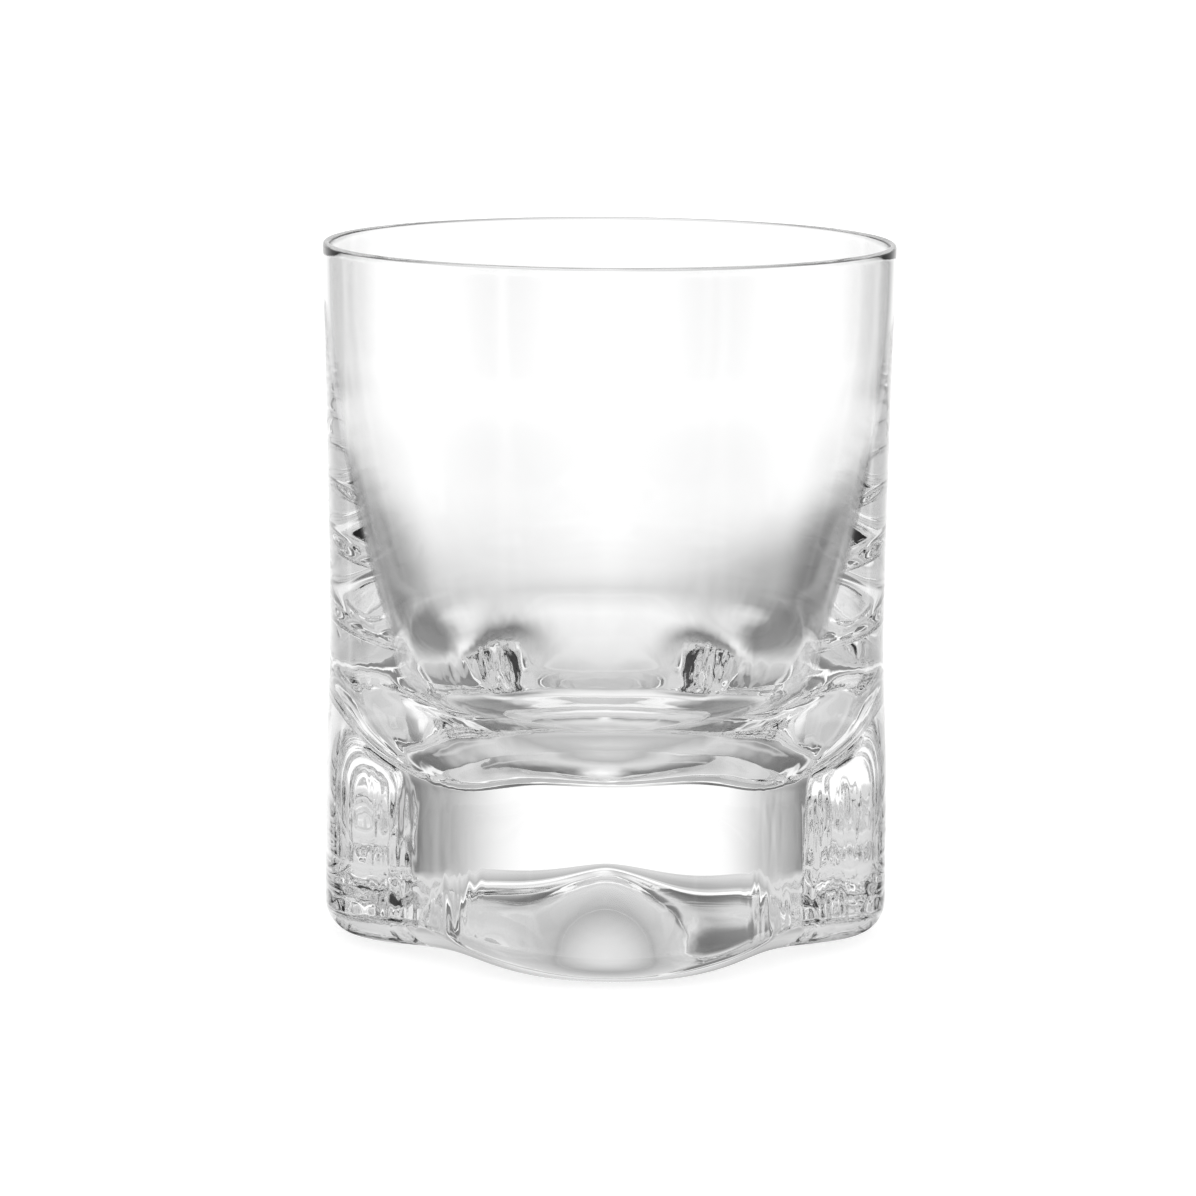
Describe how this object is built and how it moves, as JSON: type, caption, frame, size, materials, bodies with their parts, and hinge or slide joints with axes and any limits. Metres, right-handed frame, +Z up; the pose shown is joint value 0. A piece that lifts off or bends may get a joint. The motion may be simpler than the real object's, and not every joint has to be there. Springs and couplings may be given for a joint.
{
  "type": "whiskey tumbler",
  "caption": "Clear glass whiskey tumbler with a round thin lip, a bowl-floored cavity and a heavy solid base drawn in on the diagonals to a soft lobed block.",
  "frame": {"origin": "centre of the underside, on the plane that the glass stands on", "axes": "+Z up along the axis of the glass towards the lip, -Y towards the lobe that faces the viewer, +X to the viewer's right"},
  "size_m": [0.078, 0.078, 0.095],
  "materials": {
    "clear_glass": "gloss"
  },
  "bodies": {
    "root": {"tumbler_glass": "clear_glass"}
  },
  "joints": []
}
